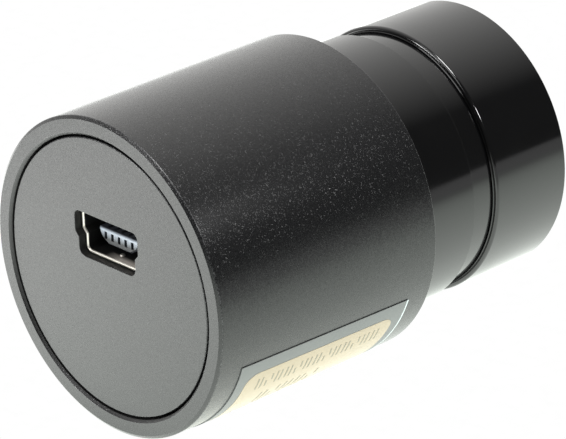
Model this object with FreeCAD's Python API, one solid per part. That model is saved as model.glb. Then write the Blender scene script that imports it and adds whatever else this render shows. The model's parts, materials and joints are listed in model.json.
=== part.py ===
import FreeCAD, Part
import math
import os

# A small digital camera that pushes into a 23.2 mm eyepiece tube. All sizes are millimetres.
# The optical axis is the Y axis. The nose points along +Y and the USB socket along -Y.
# +Z is up, square to the level main board. The origin is the centre of the body's front
# shoulder, where the nosepiece starts.

# Body tube
BODY_R = 13.5
BODY_LENGTH = 23.34
REAR_CHAMFER_AXIAL = 0.20
REAR_CHAMFER_RADIAL = 0.28
FRONT_CHAMFER = 0.08
RIM_INNER_R = 12.13
RIM_BEVEL = 0.22
CAVITY_R = 10.9
FRONT_WALL = 2.4
SPIGOT_R = 8.5

# Rear cover: its edge tapers out towards the back, which centres it in the rim
COVER_FACE_R = 11.68
COVER_BACK_R = 11.88
COVER_RECESS = 0.18
COVER_THICKNESS = 1.07
COVER_EDGE = 0.08
ADHESIVE_R = 11.4
ADHESIVE_THICKNESS = 0.15

# Front tube and nose sleeve
NOSE_R = 11.6
NECK_LENGTH = 6.34
UNDERCUT_R = 11.10
SLEEVE_REAR = 8.91
SLEEVE_FRONT = 17.01
SLEEVE_CHAMFER = 0.20
SLEEVE_SEAM = 0.08
SLEEVE_SEAM_INSET = 0.10
EDGE_BREAK = 0.10
THREAD_R = 11.05
THREAD_END = 13.06
APERTURE_R = 10.2
APERTURE_BEVEL = 0.30
OPTICAL_BORE_R = 7.7
FILTER_POCKET_R = 9.3
FILTER_LEDGE = 8.0
BAFFLE_GROOVES = 9
BAFFLE_PITCH = 0.8
BAFFLE_DEPTH = 0.25
WASHER_GAP = 0.05
WASHER_THICKNESS = 0.45
WASHER_INNER_R = 10.25

# Filter stack
GASKET_THICKNESS = 0.2
GLASS_THICKNESS = 1.1
GLASS_R = 9.2
RETAINER_THICKNESS = 1.6
RETAINER_INNER_R = 8.3
RETAINER_BEVEL = 0.25
SPANNER_SLOT_HALF_WIDTH = 0.5
SPANNER_SLOT_DEPTH = 0.8
GASKET_STEP = 0.4

# Sensor stack, behind the front wall
SPACER_THICKNESS = 2.2
SPACER_R = 10.8
SPACER_INNER_R = 7.6
SENSOR_BOARD_R = 10.6
BOARD_THICKNESS = 1.2
SCREW_CIRCLE_R = 9.6
SCREW_ANGLES = (90, 210, 330)
SCREW_R = 0.6
SCREW_CLEARANCE = 0.15
SCREW_HEAD_R = 1.1
SCREW_HEAD_HEIGHT = 0.9
SCREW_DEPTH = 1.5
SCREW_TIP_GAP = 0.1
HEX_KEY_R = 0.5
HEX_KEY_SIDES = 6
HEX_KEY_DEPTH = 0.5
PACKAGE = (11.4, 9.8, 1.5)
PACKAGE_RECESS = (8.4, 6.8, 0.7)
DIE = (7.4, 5.9, 0.4)
COVER_GLASS = (10.2, 8.6, 0.5)
MASK_WINDOW = (7.8, 6.3)
MASK_THICKNESS = 0.12

# Main board and its rails
MAIN_TOP = 1.14
MAIN_THICKNESS = 1.0
MAIN_HALF_WIDTH = 10.15
MAIN_REAR = -21.64
MAIN_FRONT = -6.2
NOTCH_R = 1.0
NOTCH_Y = -12.0
RAIL_INNER_R = 9.5
RAIL_OUTER_R = 10.88
RAIL_LOW_DEG = -13.0
RAIL_HIGH_DEG = 24.0

# Mini-B socket
SHELL_HALF_WIDTH = 3.70
SHELL_TOP = 4.80
SHELL_STEP_HIGH = 3.10
SHELL_STEP_LOW = 2.64
SHELL_LOWER_HALF_WIDTH = 3.30
SHELL_UPPER_CORNER_R = 0.45
SHELL_LOWER_CORNER_R = 0.6
SHELL_WALL = 0.3
SHELL_MOUTH = -22.54
SHELL_END = -14.0
FINGER_X = 1.6
FINGER_REAR = -20.74
FINGER_FRONT = -17.34
FINGER_HALF_WIDTH = 0.5
FINGER_SLIT = 0.15
FOOT_REARS = (-21.04, -15.74)
FOOT_LENGTH = 1.4
FOOT_REACH = 0.9
DIMPLE_R = 0.25
DIMPLE_HEIGHT = 0.12
DIMPLE_INSET = 1.0
CUTOUT_CLEARANCE = 0.08
INSULATOR_BASE_FRONT = -17.14
TONGUE_TIP = -21.84
TONGUE_TOP = 3.38
TONGUE_OUTLINE = [(2.39, TONGUE_TOP), (2.32, 2.95), (2.05, 2.5), (1.35, 2.07)]
TONGUE_TIP_BEVEL = 0.12
SLOT_WIDTH = 0.32
SLOT_LOW = 2.48
SLOT_WINDOW_TOP = 3.10
SLOT_LIP = 0.35
CONTACT_COUNT = 5
CONTACT_PITCH = 0.8
CONTACT_WIDTH = 0.26
CONTACT_LOW = 2.92
CONTACT_THICKNESS = 0.2
CONTACT_SETBACK = 0.9
CONTACT_TAIL = 0.6
INSULATOR_FIT = 0.02

# Chips and small parts on the main board: places are (x, y), sizes are (x, y, z)
CHIP_MARK_R = 0.3
CHIP_MARK_DEPTH = 0.08
CHIP_MARK_INSET = 0.8
CONTROLLER_PLACE = (0, -9.9)
CONTROLLER_SIZE = (6.0, 6.0, 0.9)
MEMORY_PLACE = (-4.0, -13.2)
MEMORY_SIZE = (5.0, 4.0, 1.0)
CRYSTAL_PLACE = (4.2, -13.2)
CRYSTAL_SIZE = (5.0, 3.2, 1.1)
CRYSTAL_CORNER_R = 1.2
REGULATOR_PLACE = (6.6, -17.2)
REGULATOR_SIZE = (2.9, 1.6, 1.1)
REGULATOR_LEGS = (2.3, 2.8, 0.3)
INDUCTOR_PLACE = (-6.6, -17.0)
INDUCTOR_SIZE = (3.6, 3.6, 1.8)
INDUCTOR_CORNER_R = 0.8
CAPACITOR_SIZE = (0.8, 1.6, 0.8)
CAPACITOR_PLACES = [(x, y) for y in (-10.2, -13.6) for x in (-6.8, -5.4, 5.4, 6.8)]
RESISTOR_SIZE = (0.6, 1.1, 0.4)
RESISTOR_PLACES = [(x, -17.6) for x in (-6.0, -4.5, -3.0, 3.0, 4.5, 6.0)]

# Header between the two boards
HEADER_PINS = 10
HEADER_PITCH = 1.27
HEADER_BLOCK = (13.2, 2.6, 2.6)
HEADER_BLOCK_REAR = -9.2
PIN_SIZE = 0.4

# Label
LABEL_THICKNESS = 0.12
LABEL_REAR = -20.64
LABEL_FRONT = -2.34
LABEL_START_DEG = 21.1
LABEL_SWEEP_DEG = 67.9

# How far a cutter runs past the face that it opens, in thick stock and in thin
CUT_PAST = 1.0
THIN_CUT_PAST = 0.1
# Places closer than this count as the same
SAME_PLACE = 0.001

REAR_FACE = -BODY_LENGTH
COVER_FACE = REAR_FACE + COVER_RECESS
COVER_BACK = COVER_FACE + COVER_THICKNESS
LEDGE = COVER_BACK + ADHESIVE_THICKNESS
SPACER_REAR = -FRONT_WALL - SPACER_THICKNESS
SENSOR_BOARD_REAR = SPACER_REAR - BOARD_THICKNESS
MAIN_BOTTOM = MAIN_TOP - MAIN_THICKNESS

Y_AXIS = FreeCAD.Vector(0, 1, 0)
ORIGIN = FreeCAD.Vector(0, 0, 0)


def turned(profile, start_deg=0, sweep_deg=360):
    """Revolve a closed (y, r) outline about the optical axis.

    Angles run from +X towards -Z.
    """
    points = [FreeCAD.Vector(r, y, 0) for y, r in profile]
    face = Part.Face(Part.makePolygon(points + points[:1]))
    face.rotate(ORIGIN, Y_AXIS, start_deg)
    return face.revolve(ORIGIN, Y_AXIS, sweep_deg)


def ring(y_low, y_high, r_out, r_in):
    """A plain ring about the optical axis."""
    return turned([(y_low, r_in), (y_low, r_out), (y_high, r_out), (y_high, r_in)])


def rod(x, z, y_low, y_high, radius):
    """A round bar parallel to the optical axis."""
    return Part.makeCylinder(radius, y_high - y_low, FreeCAD.Vector(x, y_low, z), Y_AXIS)


def block(x, y, z):
    """A box from three (low, high) pairs."""
    corner = FreeCAD.Vector(x[0], y[0], z[0])
    return Part.makeBox(x[1] - x[0], y[1] - y[0], z[1] - z[0], corner)


def centred(width, height, y_low, y_high):
    """A box centred on the optical axis."""
    return block((-width / 2, width / 2), (y_low, y_high), (-height / 2, height / 2))


def on_board(x, y, size, top_side=True):
    """A box of (x, y, z) size that sits on the main board, above it or below it."""
    width, depth, height = size
    low = MAIN_TOP if top_side else MAIN_BOTTOM - height
    return block((x - width / 2, x + width / 2), (y - depth / 2, y + depth / 2), (low, low + height))


def screw_places():
    """The (x, z) centres of the three screws."""
    for angle in SCREW_ANGLES:
        turn = math.radians(angle)
        yield SCREW_CIRCLE_R * math.cos(turn), SCREW_CIRCLE_R * math.sin(turn)


def socket_outline(grow, y_low, y_high):
    """The mini-B outline, grown outwards by a distance and extruded along the axis."""
    wide = SHELL_HALF_WIDTH + grow
    narrow = SHELL_LOWER_HALF_WIDTH + grow
    top = SHELL_TOP + grow
    low = MAIN_TOP - grow
    corners = [(-wide, top), (wide, top), (wide, SHELL_STEP_HIGH - grow / 2),
               (narrow, SHELL_STEP_LOW - grow / 2), (narrow, low), (-narrow, low),
               (-narrow, SHELL_STEP_LOW - grow / 2), (-wide, SHELL_STEP_HIGH - grow / 2)]
    points = [FreeCAD.Vector(x, y_low, z) for x, z in corners]
    face = Part.Face(Part.makePolygon(points + points[:1]))
    solid = face.extrude(FreeCAD.Vector(0, y_high - y_low, 0))
    upper = [edge for edge in solid.Edges if is_axial_at(edge, wide, top)]
    solid = solid.makeFillet(SHELL_UPPER_CORNER_R + grow, upper)
    lower = [edge for edge in solid.Edges if is_axial_at(edge, narrow, low)]
    return solid.makeFillet(SHELL_LOWER_CORNER_R + grow, lower)


def is_axial_at(edge, half_width, z):
    """True for an edge along the axis at plus or minus half_width and height z."""
    ends = [vertex.Point for vertex in edge.Vertexes]
    if len(ends) != 2 or abs(ends[0].y - ends[1].y) < SAME_PLACE:
        return False
    return all(abs(abs(p.x) - half_width) < SAME_PLACE and abs(p.z - z) < SAME_PLACE for p in ends)


def contact_columns():
    """The x of each socket contact."""
    for index in range(CONTACT_COUNT):
        yield (index - (CONTACT_COUNT - 1) / 2) * CONTACT_PITCH


def make_housing():
    body = turned([
        (REAR_FACE, RIM_INNER_R),
        (REAR_FACE, BODY_R - REAR_CHAMFER_RADIAL),
        (REAR_FACE + REAR_CHAMFER_AXIAL, BODY_R),
        (-FRONT_CHAMFER, BODY_R),
        (0, BODY_R - FRONT_CHAMFER),
        (0, SPIGOT_R),
        (-FRONT_WALL, SPIGOT_R),
        (-FRONT_WALL, CAVITY_R),
        (LEDGE, CAVITY_R),
        (LEDGE, RIM_INNER_R - RIM_BEVEL),
        (REAR_FACE + RIM_BEVEL, RIM_INNER_R - RIM_BEVEL),
    ])
    for x, z in screw_places():
        body = body.cut(rod(x, z, -FRONT_WALL, -FRONT_WALL + SCREW_DEPTH, SCREW_R))
    return body


def make_rear_cover():
    plate = turned([
        (COVER_FACE, 0),
        (COVER_FACE, COVER_FACE_R - COVER_EDGE),
        (COVER_FACE + COVER_EDGE, COVER_FACE_R),
        (COVER_BACK, COVER_BACK_R),
        (COVER_BACK, 0),
    ])
    return plate.cut(socket_outline(CUTOUT_CLEARANCE, COVER_FACE - CUT_PAST, COVER_BACK + CUT_PAST))


def make_cover_adhesive_ring():
    return ring(COVER_BACK, LEDGE, ADHESIVE_R, CAVITY_R)


def make_front_tube():
    profile = [
        (-FRONT_WALL, OPTICAL_BORE_R),
        (-FRONT_WALL, SPIGOT_R),
        (0, SPIGOT_R),
        (0, NOSE_R),
        (NECK_LENGTH - EDGE_BREAK, NOSE_R),
        (NECK_LENGTH, NOSE_R - EDGE_BREAK),
        (NECK_LENGTH, UNDERCUT_R),
        (SLEEVE_REAR - EDGE_BREAK, UNDERCUT_R),
        (SLEEVE_REAR - EDGE_BREAK, THREAD_R),
        (THREAD_END - EDGE_BREAK, THREAD_R),
        (THREAD_END, THREAD_R - EDGE_BREAK),
        (THREAD_END, FILTER_POCKET_R),
        (FILTER_LEDGE, FILTER_POCKET_R),
        (FILTER_LEDGE, OPTICAL_BORE_R),
    ]
    # Anti-glare grooves run down the bore from the filter ledge towards the sensor.
    for index in range(BAFFLE_GROOVES):
        front = FILTER_LEDGE - BAFFLE_PITCH * (index + 0.5)
        profile += [
            (front, OPTICAL_BORE_R),
            (front, OPTICAL_BORE_R + BAFFLE_DEPTH),
            (front - BAFFLE_PITCH / 2, OPTICAL_BORE_R),
        ]
    return turned(profile)


def make_nose_sleeve():
    shoulder = THREAD_END + 2 * WASHER_GAP + WASHER_THICKNESS
    seam_r = UNDERCUT_R + SLEEVE_SEAM_INSET
    return turned([
        (SLEEVE_REAR, UNDERCUT_R),
        (SLEEVE_REAR, seam_r - SLEEVE_SEAM),
        (SLEEVE_REAR + SLEEVE_SEAM, seam_r),
        (SLEEVE_REAR, seam_r + SLEEVE_SEAM),
        (SLEEVE_REAR, NOSE_R - SLEEVE_CHAMFER),
        (SLEEVE_REAR + SLEEVE_CHAMFER, NOSE_R),
        (SLEEVE_FRONT - EDGE_BREAK, NOSE_R),
        (SLEEVE_FRONT, NOSE_R - EDGE_BREAK),
        (SLEEVE_FRONT, APERTURE_R + APERTURE_BEVEL),
        (SLEEVE_FRONT - APERTURE_BEVEL, APERTURE_R),
        (shoulder, APERTURE_R),
        (shoulder, UNDERCUT_R),
    ])


def make_nose_washer():
    low = THREAD_END + WASHER_GAP
    return ring(low, low + WASHER_THICKNESS, THREAD_R, WASHER_INNER_R)


def make_filter_gasket():
    return ring(FILTER_LEDGE, FILTER_LEDGE + GASKET_THICKNESS, GLASS_R, OPTICAL_BORE_R + GASKET_STEP)


def make_ir_filter_glass():
    low = FILTER_LEDGE + GASKET_THICKNESS
    return rod(0, 0, low, low + GLASS_THICKNESS, GLASS_R)


def make_filter_retainer_ring():
    low = FILTER_LEDGE + GASKET_THICKNESS + GLASS_THICKNESS
    high = low + RETAINER_THICKNESS
    body = turned([
        (low, RETAINER_INNER_R),
        (low, FILTER_POCKET_R),
        (high, FILTER_POCKET_R),
        (high, RETAINER_INNER_R + RETAINER_BEVEL),
        (high - RETAINER_BEVEL, RETAINER_INNER_R),
    ])
    slot = block((-FILTER_POCKET_R, FILTER_POCKET_R), (high - SPANNER_SLOT_DEPTH, high + CUT_PAST),
                 (-SPANNER_SLOT_HALF_WIDTH, SPANNER_SLOT_HALF_WIDTH))
    return body.cut(slot)


def with_screw_holes(plate, y_low, y_high):
    """Cut the three screw clearance holes through a plate."""
    for x, z in screw_places():
        plate = plate.cut(rod(x, z, y_low - CUT_PAST, y_high + CUT_PAST, SCREW_R + SCREW_CLEARANCE))
    return plate


def make_sensor_spacer():
    plate = ring(SPACER_REAR, -FRONT_WALL, SPACER_R, SPACER_INNER_R)
    return with_screw_holes(plate, SPACER_REAR, -FRONT_WALL)


def make_sensor_board():
    plate = rod(0, 0, SENSOR_BOARD_REAR, SPACER_REAR, SENSOR_BOARD_R)
    return with_screw_holes(plate, SENSOR_BOARD_REAR, SPACER_REAR)


def make_sensor_screws():
    head_rear = SENSOR_BOARD_REAR - SCREW_HEAD_HEIGHT
    screws = []
    for x, z in screw_places():
        shank = rod(x, z, SENSOR_BOARD_REAR, -FRONT_WALL + SCREW_DEPTH - SCREW_TIP_GAP, SCREW_R)
        head = rod(x, z, head_rear, SENSOR_BOARD_REAR, SCREW_HEAD_R)
        corners = []
        for side in range(HEX_KEY_SIDES):
            turn = 2 * math.pi * side / HEX_KEY_SIDES
            corners.append(FreeCAD.Vector(x + HEX_KEY_R * math.cos(turn), head_rear,
                                          z + HEX_KEY_R * math.sin(turn)))
        key = Part.Face(Part.makePolygon(corners + corners[:1])).extrude(
            FreeCAD.Vector(0, HEX_KEY_DEPTH, 0))
        screws.append(shank.fuse(head).removeSplitter().cut(key))
    return Part.makeCompound(screws)


def make_sensor_package():
    width, height, depth = PACKAGE
    front = SPACER_REAR + depth
    body = centred(width, height, SPACER_REAR, front)
    recess_width, recess_height, recess_depth = PACKAGE_RECESS
    return body.cut(centred(recess_width, recess_height, front - recess_depth, front + CUT_PAST))


def make_sensor_die():
    width, height, depth = DIE
    low = SPACER_REAR + PACKAGE[2] - PACKAGE_RECESS[2]
    return centred(width, height, low, low + depth)


def make_sensor_cover_glass():
    width, height, depth = COVER_GLASS
    low = SPACER_REAR + PACKAGE[2]
    return centred(width, height, low, low + depth)


def make_sensor_mask():
    low = SPACER_REAR + PACKAGE[2] + COVER_GLASS[2]
    sheet = centred(COVER_GLASS[0], COVER_GLASS[1], low, low + MASK_THICKNESS)
    return sheet.cut(centred(MASK_WINDOW[0], MASK_WINDOW[1], low - CUT_PAST, low + CUT_PAST))


def header_columns():
    """The x of each header pin."""
    for index in range(HEADER_PINS):
        yield (index - (HEADER_PINS - 1) / 2) * HEADER_PITCH


def header_pin(x):
    """An L-shaped pin: along the axis through the block, then up to the main board."""
    half = PIN_SIZE / 2
    middle = MAIN_BOTTOM - HEADER_BLOCK[2] / 2
    rear = HEADER_BLOCK_REAR - PIN_SIZE
    level = block((x - half, x + half), (rear, SENSOR_BOARD_REAR), (middle - half, middle + half))
    leg = block((x - half, x + half), (rear, HEADER_BLOCK_REAR), (middle - half, MAIN_BOTTOM))
    return level.fuse(leg).removeSplitter()


def make_header_block():
    width, depth, height = HEADER_BLOCK
    body = block((-width / 2, width / 2), (HEADER_BLOCK_REAR, HEADER_BLOCK_REAR + depth),
                 (MAIN_BOTTOM - height, MAIN_BOTTOM))
    for x in header_columns():
        body = body.cut(header_pin(x))
    return body


def make_header_pins():
    return Part.makeCompound([header_pin(x) for x in header_columns()])


def make_main_board():
    board = block((-MAIN_HALF_WIDTH, MAIN_HALF_WIDTH), (MAIN_REAR, MAIN_FRONT), (MAIN_BOTTOM, MAIN_TOP))
    for side in (-1, 1):
        corner = FreeCAD.Vector(side * MAIN_HALF_WIDTH, NOTCH_Y, MAIN_BOTTOM - CUT_PAST)
        board = board.cut(Part.makeCylinder(NOTCH_R, MAIN_THICKNESS + 2 * CUT_PAST, corner))
    return board


def make_board_rail(side):
    rail = turned([(MAIN_REAR, RAIL_INNER_R), (MAIN_REAR, RAIL_OUTER_R), (MAIN_FRONT, RAIL_OUTER_R),
                   (MAIN_FRONT, RAIL_INNER_R)], -RAIL_HIGH_DEG, RAIL_HIGH_DEG - RAIL_LOW_DEG)
    along = (MAIN_REAR - CUT_PAST, MAIN_FRONT + CUT_PAST)
    rail = rail.cut(block((0, MAIN_HALF_WIDTH), along, (MAIN_BOTTOM, MAIN_TOP)))
    if side < 0:
        rail = rail.mirror(ORIGIN, FreeCAD.Vector(1, 0, 0))
    return rail


def make_usb_shell():
    shell = socket_outline(0, SHELL_MOUTH, SHELL_END)
    shell = shell.cut(socket_outline(-SHELL_WALL, SHELL_MOUTH - CUT_PAST, SHELL_END + CUT_PAST))
    for side in (-1, 1):
        shell = shell.cut(spring_finger_slit(side * FINGER_X))
        for rear in FOOT_REARS:
            shell = shell.fuse(solder_foot(side, rear))
    return shell.fuse(floor_dimple()).removeSplitter()


def spring_finger_slit(x):
    """The slit around a spring finger punched in the shell's top wall."""
    inner = FINGER_HALF_WIDTH - FINGER_SLIT
    height = (SHELL_TOP - SHELL_WALL - THIN_CUT_PAST, SHELL_TOP + THIN_CUT_PAST)
    window = block((x - FINGER_HALF_WIDTH, x + FINGER_HALF_WIDTH), (FINGER_REAR, FINGER_FRONT), height)
    finger = block((x - inner, x + inner), (FINGER_REAR + FINGER_SLIT, FINGER_FRONT), height)
    return window.cut(finger)


def solder_foot(side, rear):
    """A flat foot on one side (-1 or 1) of the shell, soldered to the main board."""
    x = sorted((side * (SHELL_LOWER_HALF_WIDTH - SHELL_WALL / 2), side * (SHELL_HALF_WIDTH + FOOT_REACH)))
    return block(x, (rear, rear + FOOT_LENGTH), (MAIN_TOP, MAIN_TOP + SHELL_WALL))


def floor_dimple():
    """A low round dimple pressed up in the shell's floor, just inside its mouth."""
    floor = MAIN_TOP + SHELL_WALL
    ball_r = (DIMPLE_R ** 2 + DIMPLE_HEIGHT ** 2) / (2 * DIMPLE_HEIGHT)
    centre = FreeCAD.Vector(0, SHELL_MOUTH + DIMPLE_INSET, floor + DIMPLE_HEIGHT - ball_r)
    cap = block((-DIMPLE_R, DIMPLE_R), (centre.y - DIMPLE_R, centre.y + DIMPLE_R),
                (floor - THIN_CUT_PAST, floor + CUT_PAST))
    return Part.makeSphere(ball_r, centre).common(cap)


def make_usb_insulator():
    base = socket_outline(-SHELL_WALL - INSULATOR_FIT, INSULATOR_BASE_FRONT, SHELL_END)
    corners = TONGUE_OUTLINE + [(-x, z) for x, z in reversed(TONGUE_OUTLINE)]
    points = [FreeCAD.Vector(x, TONGUE_TIP, z) for x, z in corners]
    face = Part.Face(Part.makePolygon(points + points[:1]))
    tongue = face.extrude(FreeCAD.Vector(0, INSULATOR_BASE_FRONT - TONGUE_TIP, 0))
    tip = [edge for edge in tongue.Edges
           if all(abs(vertex.Point.y - TONGUE_TIP) < SAME_PLACE for vertex in edge.Vertexes)]
    body = base.fuse(tongue.makeChamfer(TONGUE_TIP_BEVEL, tip)).removeSplitter()
    for x in contact_columns():
        side = (x - SLOT_WIDTH / 2, x + SLOT_WIDTH / 2)
        window = block(side, (TONGUE_TIP - CUT_PAST, TONGUE_TIP + SLOT_LIP + THIN_CUT_PAST),
                       (SLOT_LOW, SLOT_WINDOW_TOP))
        groove = block(side, (TONGUE_TIP + SLOT_LIP, INSULATOR_BASE_FRONT),
                       (SLOT_LOW, TONGUE_TOP + THIN_CUT_PAST))
        body = body.cut(window).cut(groove).cut(contact_blade(x))
    return body


def contact_blade(x):
    """A contact blade in its groove, with its tail down to the main board."""
    side = (x - CONTACT_WIDTH / 2, x + CONTACT_WIDTH / 2)
    high = CONTACT_LOW + CONTACT_THICKNESS
    tail_end = SHELL_END + CONTACT_TAIL
    blade = block(side, (TONGUE_TIP + CONTACT_SETBACK, tail_end), (CONTACT_LOW, high))
    leg = block(side, (tail_end - CONTACT_THICKNESS, tail_end), (MAIN_TOP, high))
    return blade.fuse(leg).removeSplitter()


def make_usb_contacts():
    return Part.makeCompound([contact_blade(x) for x in contact_columns()])


def marked_chip(place, size, top_side=True):
    """A chip with a shallow round mark beside its first leg."""
    chip = on_board(*place, size, top_side)
    x, y = place[0] - size[0] / 2 + CHIP_MARK_INSET, place[1] - size[1] / 2 + CHIP_MARK_INSET
    if top_side:
        low = MAIN_TOP + size[2] - CHIP_MARK_DEPTH
    else:
        low = MAIN_BOTTOM - size[2] + CHIP_MARK_DEPTH - CUT_PAST
    return chip.cut(Part.makeCylinder(CHIP_MARK_R, CUT_PAST, FreeCAD.Vector(x, y, low)))


def round_uprights(solid, radius):
    """Fillet the vertical edges of a box on the board."""
    upright = [edge for edge in solid.Edges
               if abs(edge.Vertexes[0].Point.z - edge.Vertexes[1].Point.z) > SAME_PLACE]
    return solid.makeFillet(radius, upright)


def make_voltage_regulator():
    body = on_board(*REGULATOR_PLACE, REGULATOR_SIZE)
    return body.fuse(on_board(*REGULATOR_PLACE, REGULATOR_LEGS)).removeSplitter()


def row_of(size, places, top_side=True):
    """A group of equal small parts on the main board."""
    return Part.makeCompound([on_board(x, y, size, top_side) for x, y in places])


def make_label_plate():
    return turned([(LABEL_REAR, BODY_R), (LABEL_REAR, BODY_R + LABEL_THICKNESS),
                   (LABEL_FRONT, BODY_R + LABEL_THICKNESS), (LABEL_FRONT, BODY_R)],
                  LABEL_START_DEG, LABEL_SWEEP_DEG)


NODES = {
    "housing": make_housing(),
    "rear_cover": make_rear_cover(),
    "cover_adhesive_ring": make_cover_adhesive_ring(),
    "front_tube": make_front_tube(),
    "nose_sleeve": make_nose_sleeve(),
    "nose_washer": make_nose_washer(),
    "filter_gasket": make_filter_gasket(),
    "ir_filter_glass": make_ir_filter_glass(),
    "filter_retainer_ring": make_filter_retainer_ring(),
    "sensor_spacer": make_sensor_spacer(),
    "sensor_board": make_sensor_board(),
    "sensor_screws": make_sensor_screws(),
    "sensor_package": make_sensor_package(),
    "sensor_die": make_sensor_die(),
    "sensor_cover_glass": make_sensor_cover_glass(),
    "sensor_mask": make_sensor_mask(),
    "header_block": make_header_block(),
    "header_pins": make_header_pins(),
    "main_board": make_main_board(),
    "board_rail_left": make_board_rail(-1),
    "board_rail_right": make_board_rail(1),
    "usb_shell": make_usb_shell(),
    "usb_insulator": make_usb_insulator(),
    "usb_contacts": make_usb_contacts(),
    "controller_chip": marked_chip(CONTROLLER_PLACE, CONTROLLER_SIZE),
    "memory_chip": marked_chip(MEMORY_PLACE, MEMORY_SIZE, top_side=False),
    "crystal_can": round_uprights(on_board(*CRYSTAL_PLACE, CRYSTAL_SIZE, top_side=False), CRYSTAL_CORNER_R),
    "voltage_regulator": make_voltage_regulator(),
    "power_inductor": round_uprights(on_board(*INDUCTOR_PLACE, INDUCTOR_SIZE), INDUCTOR_CORNER_R),
    "ceramic_capacitors": row_of(CAPACITOR_SIZE, CAPACITOR_PLACES),
    "chip_resistors": row_of(RESISTOR_SIZE, RESISTOR_PLACES, top_side=False),
    "label_plate": make_label_plate(),
}

os.makedirs("parts", exist_ok=True)
for name, shape in NODES.items():
    shape.exportStep(f"parts/{name}.step")
    print(name, shape.ShapeType, len(shape.Solids), shape.isValid(), round(shape.Volume, 2))
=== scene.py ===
import bpy
import json
import math
from mathutils import Matrix, Vector


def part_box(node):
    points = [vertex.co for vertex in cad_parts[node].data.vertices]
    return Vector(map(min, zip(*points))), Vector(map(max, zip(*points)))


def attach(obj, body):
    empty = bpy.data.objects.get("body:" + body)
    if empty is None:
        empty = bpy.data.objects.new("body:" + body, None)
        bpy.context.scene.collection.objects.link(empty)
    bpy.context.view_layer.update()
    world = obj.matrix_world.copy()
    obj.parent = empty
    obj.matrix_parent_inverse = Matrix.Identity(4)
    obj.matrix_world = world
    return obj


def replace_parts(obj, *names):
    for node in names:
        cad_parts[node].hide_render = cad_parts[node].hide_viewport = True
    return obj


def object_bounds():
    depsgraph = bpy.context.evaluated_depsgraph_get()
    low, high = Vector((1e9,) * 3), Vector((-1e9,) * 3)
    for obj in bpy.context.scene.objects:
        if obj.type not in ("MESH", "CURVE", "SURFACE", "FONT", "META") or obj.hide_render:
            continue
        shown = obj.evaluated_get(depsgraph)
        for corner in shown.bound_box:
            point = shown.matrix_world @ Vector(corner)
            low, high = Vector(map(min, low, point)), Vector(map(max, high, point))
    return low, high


# The looks of a small digital camera with a push-in nose. Everything is in metres, in the frame
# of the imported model: +Y along the optical axis towards the nose, +Z up, +X right seen from behind.

MM = 0.001

# Noise rarely leaves this range
NOISE_LOW = 0.3
NOISE_HIGH = 0.7

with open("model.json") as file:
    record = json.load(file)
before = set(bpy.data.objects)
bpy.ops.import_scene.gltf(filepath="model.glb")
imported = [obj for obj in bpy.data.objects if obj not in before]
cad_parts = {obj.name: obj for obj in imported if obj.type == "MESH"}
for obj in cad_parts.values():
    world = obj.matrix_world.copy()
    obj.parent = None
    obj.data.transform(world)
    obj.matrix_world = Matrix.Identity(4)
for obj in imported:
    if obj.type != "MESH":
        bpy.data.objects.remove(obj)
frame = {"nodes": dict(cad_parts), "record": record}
cad_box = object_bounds()
nodes = frame["nodes"]


def in_mm(corner):
    return Vector(corner) / MM


# ---------------------------------------------------------------- materials


def add(tree, kind, inputs=None, **settings):
    """A new shader node. An input is a value or another node's output."""
    made = tree.nodes.new(kind)
    for name, value in settings.items():
        setattr(made, name, value)
    for name, value in (inputs or {}).items():
        if isinstance(value, bpy.types.NodeSocket):
            tree.links.new(value, made.inputs[name])
        else:
            made.inputs[name].default_value = value
    return made


def grey(value):
    return (value, value, value, 1.0)


def new_material(name, **values):
    """A material with a Principled shader. Plain values go straight to its sockets."""
    material = bpy.data.materials.new(name)
    material.use_nodes = True
    tree = material.node_tree
    shader = tree.nodes["Principled BSDF"]
    for socket, value in values.items():
        shader.inputs[socket.replace("_", " ")].default_value = value
    return material, tree, shader


def millimetres(tree, stretch=(1, 1, 1)):
    """Object coordinates in millimetres, optionally stretched per axis."""
    place = add(tree, "ShaderNodeTexCoord")
    scale = [1 / MM * share for share in stretch]
    return add(tree, "ShaderNodeMapping", {
        "Vector": place.outputs["Object"], "Scale": scale}).outputs["Vector"]


def noise(tree, vector, per_mm, detail=2.0, roughness=0.5):
    """Noise between 0 and 1 with about per_mm features to the millimetre."""
    return add(tree, "ShaderNodeTexNoise", {
        "Vector": vector, "Scale": per_mm, "Detail": detail, "Roughness": roughness}).outputs["Fac"]


def remap(tree, value, low, high, to_low=0.0, to_high=1.0):
    """A value's place between low and high, clamped, carried over to to_low and to_high."""
    return add(tree, "ShaderNodeMapRange", {
        "Value": value, "From Min": low, "From Max": high,
        "To Min": to_low, "To Max": to_high}).outputs["Result"]


def uneven(tree, pattern, low, high):
    """Spread the middle of a noise pattern between two values."""
    return remap(tree, pattern, NOISE_LOW, NOISE_HIGH, low, high)


def maths(tree, operation, first, second):
    return add(tree, "ShaderNodeMath", {0: first, 1: second}, operation=operation).outputs["Value"]


def blend_colours(tree, share, first, second):
    mixed = add(tree, "ShaderNodeMix", {"Factor": share}, data_type="RGBA")
    for socket, value in ((mixed.inputs[6], first), (mixed.inputs[7], second)):
        if isinstance(value, bpy.types.NodeSocket):
            tree.links.new(value, socket)
        else:
            socket.default_value = value
    return mixed.outputs[2]


def bump(tree, height, depth_mm, strength):
    return add(tree, "ShaderNodeBump", {
        "Height": height, "Distance": depth_mm * MM, "Strength": strength}).outputs["Normal"]


def join(tree, shader, **sources):
    for socket, output in sources.items():
        tree.links.new(output, shader.inputs[socket.replace("_", " ")])


def edge_share(tree, sign=1):
    """How much a point lies on a worn edge (sign 1) or in a hollow darkened by painted shade (sign -1),
    from the attribute that the mesh pieces carry."""
    painted = add(tree, "ShaderNodeAttribute", attribute_name="edge").outputs["Fac"]
    return remap(tree, painted, 0, sign)


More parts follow.
